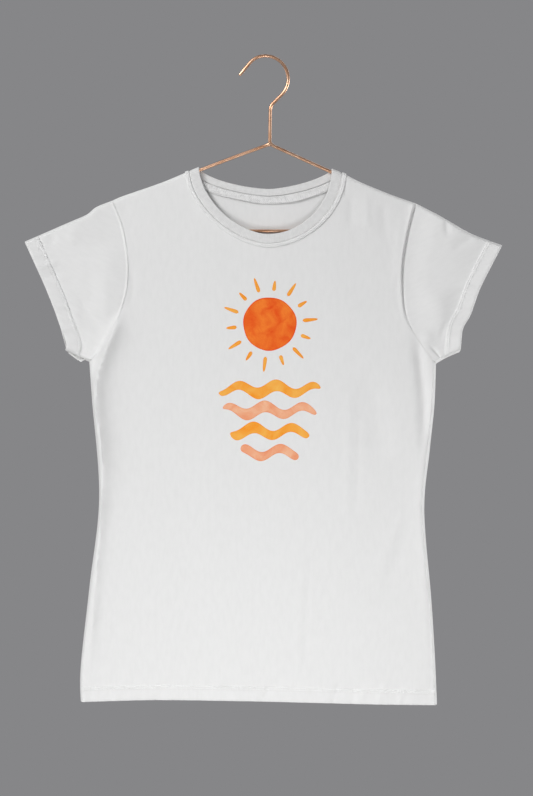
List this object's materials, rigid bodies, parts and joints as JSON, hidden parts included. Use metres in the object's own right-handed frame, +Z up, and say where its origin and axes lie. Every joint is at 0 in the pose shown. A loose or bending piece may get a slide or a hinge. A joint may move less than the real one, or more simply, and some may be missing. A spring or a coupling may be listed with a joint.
{
  "type": "t-shirt on a wire hanger",
  "caption": "Fitted short-sleeved crew-neck T-shirt in white cotton jersey with a round chest print, hanging on a bent copper wire hanger with an open hook.",
  "frame": {"origin": "the underside of the wire near the top of the hook's curl, where a rail, peg or cord carries the whole", "axes": "+Z up, the shirt hanging down along -Z; -Y out of the front of the shirt; +X to the right when seen from the front"},
  "size_m": [0.5909, 0.0374, 0.8056],
  "materials": {
    "copper_wire": "copper-plated steel wire, polished",
    "jersey": "white cotton single jersey, matt, with an ink print on the chest",
    "rib_knit": "white cotton rib knit, matt",
    "cotton_tape": "white herringbone cotton tape, matt"
  },
  "bodies": {
    "root": {"hanger": "copper_wire", "front_panel": "jersey", "back_panel": "jersey", "left_sleeve": "jersey", "right_sleeve": "jersey", "neck_rib": "rib_knit", "neck_tape": "cotton_tape"}
  },
  "joints": []
}
